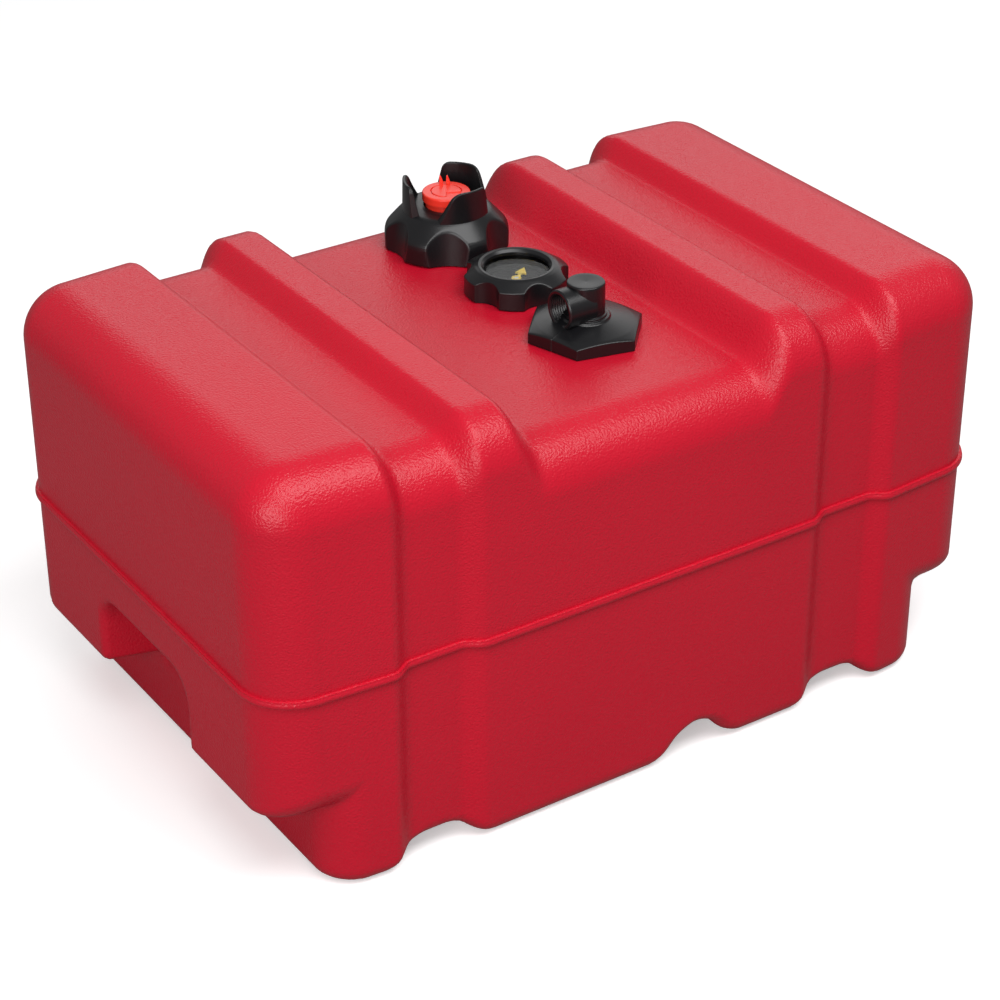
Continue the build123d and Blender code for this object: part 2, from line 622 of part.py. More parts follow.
slot_angle = twist_rate * (float_top - FOLLOWER_HIGH / 2 - strip_low)
slot = Box(STRIP_WIDE + 2 * SLOT_LOOSE, STRIP_THICK + 2 * SLOT_LOOSE, 3 * FOLLOWER_HIGH)
slot = Rot(0, 0, slot_angle) * Pos(0, 0, float_top) * slot
float_follower = rod(FOLLOWER_R, follower_low, float_top) - slot
save(at_frame * float_follower, "float_follower")

# ---------------------------------------------------------------- fuel pick-up
at_pickup = Pos(ROW_X, PICKUP_Y, PANEL)
hex_plan = Rot(0, 0, HEX_TURN) * RegularPolygon(HEX_R, 6)
hex_body = extrude(Pos(0, 0, 0.5) * hex_plan, HEX_CONE_HIGH - 0.5)
cone = turned([
    (0, 0), (HEX_R + 1, 0), (HEX_R + 1, HEX_SIDE_HIGH - 1.5), (HEX_R - 8, HEX_SIDE_HIGH + 1.2),
    (STEM_TUBE_R + 4, HEX_CONE_HIGH - 1.5), (STEM_TUBE_R + 3, HEX_CONE_HIGH), (0, HEX_CONE_HIGH)])
pickup_fitting = hex_body & cone
stem = rod(STEM_TUBE_R, HEX_CONE_HIGH - 2, STEM_TOP)
stem = chamfer(stem.edges().sort_by(Axis.Z)[-1], 1)
pickup_fitting = pickup_fitting + stem
along_port = Pos(0, 0, PORT_LEVEL) * Rot(0, -90, 0)
pickup_fitting = pickup_fitting + along_port * rod(PORT_R, 0, PORT_REACH)
pickup_fitting = pickup_fitting - rod(PICKUP_NECK_R + LOOSE, -1, seal_top)
pickup_fitting = pickup_fitting + rod(SPIGOT_R, SPIGOT_END, seal_top + 1)
pickup_fitting = pickup_fitting - rod(TUBE_R + FIT, SPIGOT_END - 1, TUBE_TOP)
pickup_fitting = pickup_fitting - rod(PASSAGE_R, TUBE_TOP - 1, PORT_LEVEL + PASSAGE_R)
pickup_fitting = pickup_fitting - along_port * rod(PASSAGE_R, 0, PORT_REACH)
pickup_fitting = pickup_fitting - along_port * rod(PORT_BORE_R, PORT_REACH - PORT_DEEP, PORT_REACH + 1)
save(at_pickup * pickup_fitting, "pickup_fitting")
save(at_pickup * tube(PICKUP_NECK_R, PICKUP_BORE_R, SHORT_NECK_HIGH, seal_top), "pickup_gasket")

at_tube = Pos(ROW_X, PICKUP_Y, 0)
screen_top = SCREEN_BASE + SCREEN_HIGH
sleeve_low = screen_top - SCREEN_SLEEVE
save(at_tube * tube(TUBE_R, PASSAGE_R, sleeve_low, PANEL + TUBE_TOP), "dip_tube")

pickup_screen = rod(SCREEN_R, SCREEN_BASE, screen_top) - rod(TUBE_R + FIT, sleeve_low, screen_top + 1)
screen_in = SCREEN_R - SCREEN_WALL
pickup_screen = pickup_screen - rod(screen_in, SCREEN_BASE + SCREEN_WALL, sleeve_low - SCREEN_WALL)
pickup_screen = pickup_screen - rod(PASSAGE_R, sleeve_low - 3, sleeve_low + 1)
window_high = sleeve_low - SCREEN_BASE - 4 * SCREEN_WALL
for angle in around(SCREEN_WINDOWS, 45):
    window = Box(4 * SCREEN_WALL, WINDOW_WIDE, window_high, align=(Align.CENTER, Align.CENTER, Align.MIN))
    window = Pos(SCREEN_R, 0, SCREEN_BASE + 1.5 * SCREEN_WALL) * window
    pickup_screen = pickup_screen - Rot(0, 0, angle) * window
save(at_tube * pickup_screen, "pickup_screen")
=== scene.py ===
"""Portable outboard fuel tank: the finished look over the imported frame."""
import json
import math

import bmesh
import bpy
import numpy as np
from mathutils import Matrix


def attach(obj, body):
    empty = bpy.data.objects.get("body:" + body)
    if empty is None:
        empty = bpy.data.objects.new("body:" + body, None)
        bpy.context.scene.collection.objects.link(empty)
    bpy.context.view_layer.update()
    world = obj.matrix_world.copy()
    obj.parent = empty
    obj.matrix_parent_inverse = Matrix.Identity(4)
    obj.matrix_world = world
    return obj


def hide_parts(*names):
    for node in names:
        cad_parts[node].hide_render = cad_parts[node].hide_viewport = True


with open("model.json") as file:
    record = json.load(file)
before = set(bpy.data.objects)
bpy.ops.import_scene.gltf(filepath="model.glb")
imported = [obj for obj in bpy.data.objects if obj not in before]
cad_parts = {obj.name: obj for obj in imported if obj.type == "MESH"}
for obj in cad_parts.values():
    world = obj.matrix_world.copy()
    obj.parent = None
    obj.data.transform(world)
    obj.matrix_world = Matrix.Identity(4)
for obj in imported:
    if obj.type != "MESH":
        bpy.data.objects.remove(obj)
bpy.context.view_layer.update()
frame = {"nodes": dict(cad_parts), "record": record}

bl_info = {
    "name": "Outboard fuel tank dressing",
    "version": (1, 0, 0),
    "blender": (4, 5, 0),
    "location": "View3D > Sidebar > Fuel Tank",
    "description": "Builds the skin, fittings and finishes of a portable outboard fuel tank",
    "category": "Object",
}

MM = 0.001

# Spaces of the moulded body, in millimetres. A channel has its left and right foot, the run of its slopes and
# its height; a mouth has its place across the tank and its radius.
CHANNELS = ((133, 199, 15, 15), (-199, -133, 15, 15), (10, 72, 21, 23))
CHANNEL_EDGE_R, CHANNEL_CEILING_R = 9.0, 6.0
GRIP_HALF, GRIP_FLARE = 51, 10
GRIP_CEILING, GRIP_CLIMB = 114, 4
GRIP_CEILING_R, GRIP_BACK_R, GRIP_LIP = 22.0, 5.0, 6
ROOM_HALF = (85, 58, 112)
ROOM_Y, ROOM_Z, ROOM_WALL = 108, 155, 11
FILLER_MOUTH_R, FILLER_MOUTH_LOW = 26.9, 250
GAUGE_MOUTH_R, PICKUP_MOUTH_R, FITTING_MOUTH_LOW = 24.6, 21.4, 262

# Soft lights of the studio: name, place and aim in metres, width and height in metres, power in watts.
LIGHTS = (
    ("key", (-1.75, -1.38, 1.0), (0, 0, 0.15), 1.4, 1.0, 24),
    ("overhead", (0.0, -0.95, 1.9), (0, 0, 0.2), 2.2, 0.95, 34),
    ("backdrop", (2.0, 2.4, 1.7), (0, 0, 0.25), 4.0, 1.9, 24),
)
WORLD_LIGHT, WORLD_SEEN = 0.28, 1.0
FLOOR_GLOW, FLOOR_BOUNCE, FLOOR_HALF = 0.38, 0.25, 9.0
CAMERA_AT = (-0.896844, -1.35016, 1.077558)
CAMERA_YAW, CAMERA_PITCH, CAMERA_ROLL = 0.5873618974, 0.5325684758, -0.0012329921
CAMERA_SENSOR, CAMERA_LENS, CAMERA_SHIFT = 36.0, 96.05, (-0.00613, 0.00674)


# ---------------------------------------------------------------- meshes
def grid_faces(rows, cols, close_rows, close_cols):
    """Quads of a grid of points numbered row by row. A closed direction joins its last line to its first."""
    row, col = np.meshgrid(np.arange(rows if close_rows else rows - 1),
                           np.arange(cols if close_cols else cols - 1), indexing="ij")
    next_row, next_col = (row + 1) % rows, (col + 1) % cols
    quads = (row * cols + col, next_row * cols + col, next_row * cols + next_col, row * cols + next_col)
    return np.stack(quads, -1).reshape(-1, 4)


def add_piece(name, shells, material, body, replaced=(), crease_deg=38.0, normals=None):
    """One object from closed shells of points (mm) and quads. Coincident points are merged, so poles and
    seams close, and every shell is turned to face outwards."""
    starts = np.cumsum([0] + [len(points) for points, quads in shells])
    points = np.concatenate([points for points, quads in shells]) * MM
    quads = np.concatenate([quads + start for (_, quads), start in zip(shells, starts)])
    mesh = bpy.data.meshes.new(name)
    mesh.vertices.add(len(points))
    mesh.vertices.foreach_set("co", points.astype(np.float32).ravel())
    mesh.loops.add(quads.size)
    mesh.loops.foreach_set("vertex_index", quads.astype(np.int32).ravel())
    mesh.polygons.add(len(quads))
    mesh.polygons.foreach_set("loop_start", np.arange(len(quads), dtype=np.int32) * 4)
    mesh.update(calc_edges=True)
    if normals is None:
        work = bmesh.new()
        work.from_mesh(mesh)
        bmesh.ops.remove_doubles(work, verts=work.verts, dist=1e-6)
        bmesh.ops.recalc_face_normals(work, faces=work.faces)
        work.to_mesh(mesh)
        work.free()
    mesh.validate()
    mesh.polygons.foreach_set("use_smooth", np.ones(len(mesh.polygons), bool))
    if normals is None:
        mesh.set_sharp_from_angle(angle=math.radians(crease_deg))
    else:
        mesh.normals_split_custom_set_from_vertices(normals.tolist())
    piece = bpy.data.objects.new(name, mesh)
    bpy.context.scene.collection.objects.link(piece)
    mesh.materials.append(finish(material))
    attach(piece, body)
    if replaced:
        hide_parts(*replaced)
    return piece


# ---------------------------------------------------------------- shapes
def smooth_min(a, b, soft):
    """The smaller of two values, with the corner between them rounded over the width soft."""
    mix = np.clip(0.5 + 0.5 * (b - a) / soft, 0, 1)
    return b * (1 - mix) + a * mix - soft * mix * (1 - mix)


def bezier(p0, p1, p2, p3, count):
    """Cubic curve from p0 to p3 that leaves towards p1 and arrives from p2."""
    t = np.linspace(0, 1, count)[:, None]
    p0, p1, p2, p3 = (np.array(p, float) for p in (p0, p1, p2, p3))
    return p0 * (1 - t) ** 3 + 3 * p1 * t * (1 - t) ** 2 + 3 * p2 * t ** 2 * (1 - t) + p3 * t ** 3


def rounded_line(corners, spacing, closed):
    """Polygon of (x, y, radius) corners. Each corner becomes a quadratic curve between the points where its
    radius would touch the two sides, and the whole line is then filled to an even spacing."""
    xy = np.array([c[:2] for c in corners], float)
    out = []
    count = len(corners)
    for i, (x, y, radius) in enumerate(corners):
        here = xy[i]
        if radius <= 0 or (not closed and i in (0, count - 1)):
            out.append(here[None])
            continue
        back, ahead = xy[i - 1] - here, xy[(i + 1) % count] - here
        far_back, far_ahead = np.hypot(*back), np.hypot(*ahead)
        back, ahead = back / far_back, ahead / far_ahead
        angle = math.acos(float(np.clip(back @ ahead, -1, 1)))
        cut = min(radius / math.tan(angle / 2), 0.48 * far_back, 0.48 * far_ahead)
        t = np.linspace(0, 1, 6)[:, None]
        out.append((here + back * cut) * (1 - t) ** 2 + 2 * t * (1 - t) * here + (here + ahead * cut) * t ** 2)
    line = np.concatenate(out)
    if closed:
        line = np.concatenate([line, line[:1]])
    step = np.hypot(*np.diff(line, axis=0).T)
    along = np.concatenate([[0], np.cumsum(step)])
    marks = np.unique(np.round(np.concatenate([along, np.arange(0, along[-1], spacing)]), 4))
    marks = marks[np.concatenate([[True], np.diff(marks) > 0.05])]
    if closed:
        marks = marks[marks < along[-1] - 0.05]
    return np.stack([np.interp(marks, along, line[:, 0]), np.interp(marks, along, line[:, 1])], -1)


def turned_shell(profile, count, closed, limit=None, soft=1.0, swell=None):
    """Profile of (radius, height) turned about Z. limit gives the largest radius at each angle and height, and
    the profile is softly cut back to it; swell adds to the radius and height, from radius, height and angle."""
    angle = np.linspace(0, 2 * math.pi, count, endpoint=False)[None, :]
    radius = np.repeat(profile[:, :1], count, 1)
    height = np.repeat(profile[:, 1:2], count, 1)
    if limit is not None:
        cut = smooth_min(radius, limit(angle, height) + 0 * radius, soft)
        radius = np.where(radius > 1e-6, cut, radius)
    if swell is not None:
        more_radius, more_height = swell(radius, height, angle)
        radius, height = radius + more_radius, height + more_height
    points = np.stack([radius * np.cos(angle), radius * np.sin(angle), height], -1).reshape(-1, 3)
    return points, grid_faces(len(profile), count, closed, True)


def moved(shell, x=0.0, y=0.0, z=0.0):
    """Shell shifted by x, y and z."""
    return shell[0] + np.array([x, y, z]), shell[1]


def on_panel(shells, y, s):
    """Shells of a fitting set down on the panel, in the row, at y across the tank."""
    return [moved(shell, s.row_x, y, panel_level(s)) for shell in shells]


def turned_by(shell, degrees):
    """Shell turned about Z."""
    c, s = math.cos(math.radians(degrees)), math.sin(math.radians(degrees))
    return shell[0] @ np.array([[c, s, 0], [-s, c, 0], [0, 0, 1]]), shell[1]


def turn_off(angle, degrees):
    """Unsigned turn between an angle in radians and a direction in degrees, the short way round."""
    return np.abs((angle - math.radians(degrees) + math.pi) % (2 * math.pi) - math.pi)


def scoop_limit(centre, round_r, count, turn_deg, lean_deg=0.0):
    """Largest radius left by round scoops in a rim: at the angle d from a scoop's middle the ray meets its
    circle at C cos d - sqrt(R2 - C2 sin2 d), and C shrinks with the height where the scoop leans inwards."""
    pitch = 2 * math.pi / count
    slope = math.tan(math.radians(lean_deg))

    def limit(angle, height):
        axis = centre - slope * height
        off = (angle - math.radians(turn_deg) + pitch / 2) % pitch - pitch / 2
        inside = round_r ** 2 - (axis * np.sin(off)) ** 2
        return np.where(inside > 0, axis * np.cos(off) - np.sqrt(np.maximum(inside, 0)), centre + 50)

    return limit


def hex_limit(corner_r, turn_deg):
    """Radius of a hexagon's sides: the apothem divided by the cosine of the angle from a side's middle."""
    apothem = corner_r * math.cos(math.pi / 6)

    def limit(angle, height):
        off = (angle - math.radians(turn_deg)) % (math.pi / 3) - math.pi / 6
        return apothem / np.cos(off)

    return limit


# ---------------------------------------------------------------- tank skin
def rounded_both(a, b, radius):
    """Distance to the space inside both a and b, with their meeting edge rounded to radius."""
    round_part = np.hypot(np.maximum(a + radius, 0), np.maximum(b + radius, 0))
    return np.minimum(-radius, np.maximum(a, b)) + round_part


def eased(x, stops, values):
    """Value along x that flows by half cosine waves from one stop to the next."""
    out = np.full_like(x, values[0])
    for start, end, here, there in zip(stops[:-1], stops[1:], values[:-1], values[1:]):
        if here != there:
            out = out + (there - here) * (1 - np.cos(math.pi * np.clip((x - start) / (end - start), 0, 1))) / 2
    return out


def long_half(ax, s):
    """Half width of the tank at distance ax from its middle: valleys down the faces, and tapered ends."""
    stops = [s.rib_out, s.valley_in, s.valley_out, s.block_start]
    inset = eased(ax, stops, [0, s.valley_inset, s.valley_inset, 0])
    taper_end = s.length / 2 - s.corner_r - 1
    return s.width / 2 - inset - s.end_taper * np.clip((ax - s.block_start) / (taper_end - s.block_start), 0, 1)


def panel_level(s):
    """Height of the sunk panel that carries the fittings."""
    return s.height - s.panel_drop


def top_level(ax, s):
    """Height of the top at distance ax from the middle: panel, rib, valley and end block."""
    stops = [s.panel_edge, s.rib_in, s.rib_out, s.valley_in, s.valley_out, s.block_start]
    return s.height - eased(ax, stops, [s.panel_drop, 0, 0, s.valley_drop, s.valley_drop, 0])


def channel_space(x, z, left, right, rise, high):
    """Cross channel under the tank: between two slopes and below a flat ceiling, rounded where they meet."""
    slant = math.hypot(rise, high)
    sides = np.maximum((left - x) * high + z * rise, (x - right) * high + z * rise) / slant
    return rounded_both(sides, z - high, CHANNEL_CEILING_R)


def tank_field(x, y, z, s):
    """Signed distance to the moulded body. The plan outline is rounded into the top and the overhang, joined
    to the foot, then the channels, hand grips, mouths and the space under the filler are taken out."""
    ax, ay = np.abs(x), np.abs(y)
    half = long_half(ax, s)
    end = s.length / 2
    outer = rounded_both(ay - half, ax - end, s.corner_r)
    outer = rounded_both(outer, z - top_level(ax, s), s.edge_r)
    to_end = np.maximum(ax - (end - s.corner_r), 0) + 0.01
    to_side = np.maximum(ay - (half - s.corner_r), 0) + 0.01
    more_r = s.overhang_side_r - s.overhang_end_r
    under_r = s.overhang_end_r + more_r * to_side ** 2 / (to_side ** 2 + to_end ** 2)
    over = rounded_both(outer, s.overhang - z, under_r)
    foot = rounded_both(ay - half, ax - s.foot_out, s.foot_corner_r)
    foot = rounded_both(foot, -z, s.sole_r)
    foot = np.maximum(foot, z - s.overhang - 60)
    join = 4.0 * np.clip((ax - 222) / 20, 0, 1)
    solid = -rounded_both(-over, -foot, join)
    for channel in CHANNELS:
        solid = rounded_both(solid, -channel_space(x, z, *channel), CHANNEL_EDGE_R)
    open_by = (ax - s.foot_out) / (end - s.foot_out)
    grip = rounded_both(ay - (GRIP_HALF + GRIP_FLARE * open_by), z - (GRIP_CEILING + GRIP_CLIMB * open_by),
                        GRIP_CEILING_R)
    grip = rounded_both(grip, s.foot_out - ax, GRIP_BACK_R)
    grip = np.maximum(grip, s.overhang - GRIP_LIP - z)
    solid = rounded_both(solid, -grip, s.grip_edge_r)
    from_cap = np.hypot(x - s.row_x, y - s.cap_y)
    room = np.maximum(np.abs(y - ROOM_Y) - ROOM_HALF[1], np.abs(z - ROOM_Z) - ROOM_HALF[2])
    room = np.maximum(np.abs(x - s.row_x) - ROOM_HALF[0], room)
    space = np.maximum(solid + ROOM_WALL, room)
    space = np.minimum(space, np.maximum(from_cap - FILLER_MOUTH_R, FILLER_MOUTH_LOW - z))
    for middle, mouth_r in ((s.gauge_y, GAUGE_MOUTH_R), (s.pickup_y, PICKUP_MOUTH_R)):
        mouth = np.hypot(x - s.row_x, y - middle) - mouth_r
        space = np.minimum(space, np.maximum(mouth, FITTING_MOUTH_LOW - z))
    return np.maximum(solid, -space)


def slope_of(field, points):
    """Gradient of a field by central differences."""
    out = np.empty_like(points)
    for axis in range(3):
        step = np.zeros(3)
        step[axis] = 0.25
        ahead, behind = points + step, points - step
        out[:, axis] = (field(*ahead.T) - field(*behind.T)) / 0.5
    return out


def net_of(field, low, high, cell):
    """Closed quad surface on a field's zero level. Each grid cell that the level crosses gets one point, at
    the mean of its edge crossings, and each crossed grid edge gets the quad of the four cells round it.
    The points are then evened out between their neighbours and slid back on to the level."""
    axes = [np.arange(a, b + cell, cell) for a, b in zip(low, high)]
    value = field(*np.meshgrid(*axes, indexing="ij", sparse=True))
    shape = np.array(value.shape)
    total = np.zeros(tuple(shape - 1) + (3,))
    hits = np.zeros(tuple(shape - 1))
    crossings = []
    for axis in range(3):
        first = value[tuple(slice(0, -1) if a == axis else slice(None) for a in range(3))]
        second = value[tuple(slice(1, None) if a == axis else slice(None) for a in range(3))]
        where = np.nonzero((first < 0) != (second < 0))
        share = first[where] / (first[where] - second[where])
        spot = np.stack(where, -1).astype(float)
        spot[:, axis] += share
        ring = []
        other = [a for a in range(3) if a != axis]
        for d0, d1 in ((0, 0), (-1, 0), (-1, -1), (0, -1)):
            cellno = np.stack(where, -1)
            cellno[:, other[0]] += d0
            cellno[:, other[1]] += d1
            np.add.at(total, tuple(cellno.T), spot)
            np.add.at(hits, tuple(cellno.T), 1)
            ring.append(cellno)
        flip = (first[where] < 0) != (axis == 1)
        crossings.append((ring, flip))
    used = hits > 0
    number = np.full(used.shape, -1)
    number[used] = np.arange(used.sum())
    points = total[used] / hits[used][:, None] * cell + np.array(low)
    quads = []
    for ring, flip in crossings:
        corner = np.stack([number[tuple(c.T)] for c in ring], -1)
        corner[~flip] = corner[~flip][:, ::-1]
        quads.append(corner)
    quads = np.concatenate(quads)
    pairs = np.concatenate([quads[:, [i, (i + 1) % 4]] for i in range(4)])
    degree = np.bincount(pairs[:, 0], minlength=len(points))[:, None]
    for _ in range(4):
        sums = [np.bincount(pairs[:, 0], points[pairs[:, 1], axis], len(points)) for axis in range(3)]
        mean = np.stack(sums, -1) / degree
        points = points + 0.5 * (mean - points)
        for _ in range(2):
            slope = slope_of(field, points)
            steep = np.maximum((slope ** 2).sum(1), 0.2)
            points = points - slope * (np.clip(field(*points.T), -cell, cell) / steep)[:, None]
    slope = slope_of(field, points)
    return points, quads, slope / np.maximum(np.linalg.norm(slope, axis=1), 1e-6)[:, None]


def parting_bead(s):
    """Bead carried round the body's outline at mid height: a half ellipse with a thin ridge of flash on its
    upper shoulder. The path runs along the eased long face, round the corner arc and along the end."""
    straight = s.length / 2 - s.corner_r
    x = np.linspace(0, straight, 90)
    side = np.stack([x, -long_half(x, s)], -1)
    turn = np.linspace(-math.pi / 2, 0, 28)[1:]
    centre = np.array([straight, side[-1, 1] + s.corner_r])
    corner = centre + s.corner_r * np.stack([np.cos(turn), np.sin(turn)], -1)
    end = np.stack([np.full(30, s.length / 2), np.linspace(corner[-1, 1], 0, 31)[1:]], -1)
    quarter = np.concatenate([side, corner, end])
    right = np.concatenate([quarter, quarter[-2::-1] * [1, -1]])
    path = np.concatenate([right, right[-2:0:-1] * [-1, 1]])
    run = np.roll(path, -1, 0) - np.roll(path, 1, 0)
    run = run / np.linalg.norm(run, axis=1)[:, None]
    out = np.stack([run[:, 1], -run[:, 0]], -1)
    lean = np.linspace(-math.pi / 2, math.pi / 2, 25)
    flash_lean, flash_half, shy, root = math.radians(50), 0.10, 0.25, -1.5
    ridge = s.flash * np.exp(-((lean - flash_lean) / flash_half) ** 2)
    reach = np.concatenate([(s.bead_out + ridge - shy) * np.cos(lean) ** 0.8, [root]])
    rise = np.concatenate([(s.bead_high / 2 + ridge) * np.sin(lean), [0.0]])
    flat = path[:, None, :] + out[:, None, :] * reach[None, :, None]
    points = np.concatenate([flat, np.repeat((s.bead_level + rise)[None, :, None], len(path), 0)], -1)
    return points.reshape(-1, 3), grid_faces(len(path), len(reach), True, True)


def neck_ring(outer, bore, low, high, thread_turns):
    """Neck that stands up from the panel, with a helical groove: its depth is a rounded wave of the height
    less the pitch times the turn."""
    corners = [(bore, low, 0), (outer - 2, low, 0), (outer + 3, -1, 0), (outer + 2.2, 0, 1.5),
               (outer, 1.8, 1.5), (outer, high, 1.2), (bore, high, 0.8)]
    profile = rounded_line(corners, 0.6, True)

    def groove(radius, height, angle):
        on_wall = (radius > outer - 0.3) & (height > 2.5) & (height < high - 2.0)
        pitch = (high - 5.0) / max(thread_turns, 1)
        wave = 0.5 + 0.5 * np.cos(2 * math.pi * (height / pitch - angle / (2 * math.pi)))
        fade = np.clip((height - 2.5) / 1.5, 0, 1) * np.clip((high - 2.0 - height) / 1.5, 0, 1)
        deep = 1.5 if thread_turns else 0.0
        return -deep * on_wall * fade * wave ** 2, 0 * height

    return turned_shell(profile, 180, True, swell=groove)


# ---------------------------------------------------------------- filler cap and vent
def cap_shell(f):
    """Outer cap: a skirt that bends softly into a sloping shoulder, turned about Z and cut back by six round
    scoops that lean inwards, with the button's well in the top and an inner wall that follows the outside."""
    outside = rounded_line([(30.9, 1, 0), (f.cap_r, 1, 0.9), (f.cap_r, 16, 12), (30, 30, 10), (20, 31.2, 5),
                            (f.well_r, 31.2, 0.7), (f.well_r, 26.5, 0)], 0.8, False)
    inside = rounded_line([(f.well_r, 26.5, 0), (2.45, 26.5, 0), (2.45, 24, 0), (19, 24, 0), (19, 28.2, 0),
                           (29.5, 26.5, 0), (29.5, 22, 0), (33.3, 22, 0), (33.3, 3.7, 0),
                           (30.9, 3.7, 0)], 2.0, False)
    profile = np.concatenate([outside, inside[1:]])
    half = math.radians(f.scoop_half)
    centre = f.cap_r * math.cos(half) + math.sqrt(f.scoop_r ** 2 - (f.cap_r * math.sin(half)) ** 2)
    lean_deg = f.scoop_lean
    centre = centre + math.tan(math.radians(lean_deg))
    return turned_shell(profile, 420, True, scoop_limit(centre, f.scoop_r, 6, -121.5, lean_deg), 1.3)


def grip_fin(f):
    """One wedge fin of the cap. Across, it is a thin wall with a rounded top, between two cones. Along, its top
    climbs a straight slope to a soft nose, runs almost level and drops steeply."""
    base, round_r, full_rise = 26.0, 0.8, 26.0
    root_thick, outer_lean, inner_lean = 4.4, 0.6, 1.8
    along = rounded_line([(-f.fin_half, base, 0), (-9, f.fin_top, 10), (16.5, f.fin_top - 0.9, 5),
                          (f.fin_half, base, 0)], 0.45, False)
    y, crown = along[:, 0], along[:, 1]
    wall = np.linspace(0, 1, 14)
    bend = np.linspace(0, math.pi / 2, 7)[1:]
    side = np.maximum(crown[:, None] - round_r, base)
    level = np.concatenate([base + wall[None] * (side - base), side + round_r * np.sin(bend)[None]], 1)
    level = np.minimum(level, np.maximum(crown[:, None], base))
    pull = np.concatenate([0 * wall, round_r * (1 - np.cos(bend))])[None]
    climb = (level - base) / full_rise
    outer = f.fin_r - outer_lean * climb - pull
    inner = f.fin_r - root_thick + inner_lean * climb + pull
    radius = np.concatenate([outer, inner[:, ::-1]], 1)
    height = np.concatenate([level, level[:, ::-1]], 1)
    across = np.repeat(y[:, None], radius.shape[1], 1)
    points = np.stack([np.sqrt(np.maximum(radius ** 2 - across ** 2, 0)), across, height], -1)
    ends = [points[i].mean(0) + 0 * points[i] for i in (0, -1)]
    points = np.concatenate([ends[0][None], points, ends[1][None]])
    return points.reshape(-1, 3), grid_faces(points.shape[0], points.shape[1], False, True)


def vent_button(f):
    """Push button: a turned cap with a raised disc in a groove, a quarter of the disc sunk, and a hub below."""
    top = f.button_top
    corners = [(0, top, 0), (10.4, top, 0.5), (10.4, top - 1.3, 0), (11.2, top - 1.3, 0),
               (11.2, top - 0.2, 0.3), (17, top - 0.2, 1.2), (17, 35, 0.3), (14.8, 35, 0.3),
               (14.8, 30.3, 0), (12.8, 30.3, 0), (12.8, 38.5, 0), (5, 38.5, 0), (5, 30.3, 0),
               (2.45, 30.3, 0), (2.45, 38.5, 0), (0, 38.5, 0)]
    profile = rounded_line(corners, 0.45, False)

    def sunk(radius, height, angle):
        off = turn_off(angle, f.wedge_turn)
        inside = np.minimum(radius * np.sin(np.clip(math.radians(45) - off, -1.2, 1.2)), 11.2 - radius)
        step_wide, sunk_by = 0.4, 1.2
        deep = np.clip(inside / step_wide, 0, 1) * (height > top - 0.6)
        return 0 * radius, -sunk_by * deep

    return turned_shell(profile, 360, False, swell=sunk)


def prong(x, y, low, high):
    """Small upright tab: a rounded rectangle carried upwards and drawn in towards one side of its tip."""
    turn = np.linspace(0, 2 * math.pi, 32, endpoint=False)
    ring = np.stack([1.5 * np.sign(np.cos(turn)) * np.abs(np.cos(turn)) ** 0.4,
                     0.8 * np.sign(np.sin(turn)) * np.abs(np.sin(turn)) ** 0.4], -1)
    rise = high - low
    level = low + rise * np.array([0, 0, 0.3, 0.55, 0.8, 0.95, 1, 1])
    wide = np.array([0, 1, 0.98, 0.8, 0.52, 0.36, 0.26, 0])
    deep = np.array([0, 1, 0.98, 0.86, 0.7, 0.55, 0.4, 0])
    flat = ring[None] * np.stack([wide, deep], -1)[:, None, :]
    flat[:, :, 0] -= 1.1 * (1 - np.maximum(wide, 0.36))[:, None] * (wide > 0)[:, None]
    points = np.concatenate([flat, np.repeat(level[:, None, None], len(ring), 1)], -1).reshape(-1, 3)
    return moved(turned_by((points, grid_faces(len(level), len(ring), False, True)), -33.6), x, y)


# ---------------------------------------------------------------- gauge and pick-up
def ring_nut(f):
    """Gauge ring: a turned ring with a sloping face, cut back softly by six upright scoops."""
    corners = [(27.3, 0.5, 0), (f.nut_r, 0.5, 0.8), (f.nut_r, 13.6, 1.0), (28.6, 18.4, 1.4), (26.3, 19.3, 0.8),
               (24.4, 19.0, 0.6), (22.5, 17.2, 0.5), (22.5, 15.02, 0), (27.3, 15.02, 0)]
    profile = rounded_line(corners, 0.7, True)
    half_wide = f.nut_r * math.sin(math.radians(18))
    recess_r = (half_wide ** 2 + f.recess_deep ** 2) / (2 * f.recess_deep)
    limit = scoop_limit(f.nut_r - f.recess_deep + recess_r, recess_r, 6, -98.7)
    return turned_shell(profile, 420, True, limit, 0.7)


def pickup_base(f):
    """Hexagonal fitting with an upright stem: one turned profile cut back softly by the hexagon's sides, with
    a fine mould line down one side."""
    corners = [(0, 4, 0), (5.05, 4, 0), (5.05, -14, 0), (8, -14, 0), (8, 10, 0), (25.3, 10, 0), (25.3, 0.5, 0),
               (43, 0.5, 0.8), (43, 7.3, 1.5), (33, 10.2, 2.0), (16.9, 13.6, 1.5), (15.9, 15.1, 0.6),
               (14.3, 15.3, 0.4), (14.2, 16.6, 0.5), (12.9, 17.0, 0.6), (12.8, 38.9, 1.9),
               (9.6, 38.9, 1.5), (0, 38.3, 0)]
    profile = rounded_line(corners, 0.55, False)

    def mould_line(radius, height, angle):
        off = turn_off(angle, f.mould_line) * radius
        on_side = (radius > 27) & (height > 0.4)
        deep, half = 0.45, 0.35
        return -deep * on_side * np.exp(-(off / half) ** 2), 0 * height

    return turned_shell(profile, 720, False, hex_limit(f.hex_r, f.hex_turn), 2.2, mould_line)


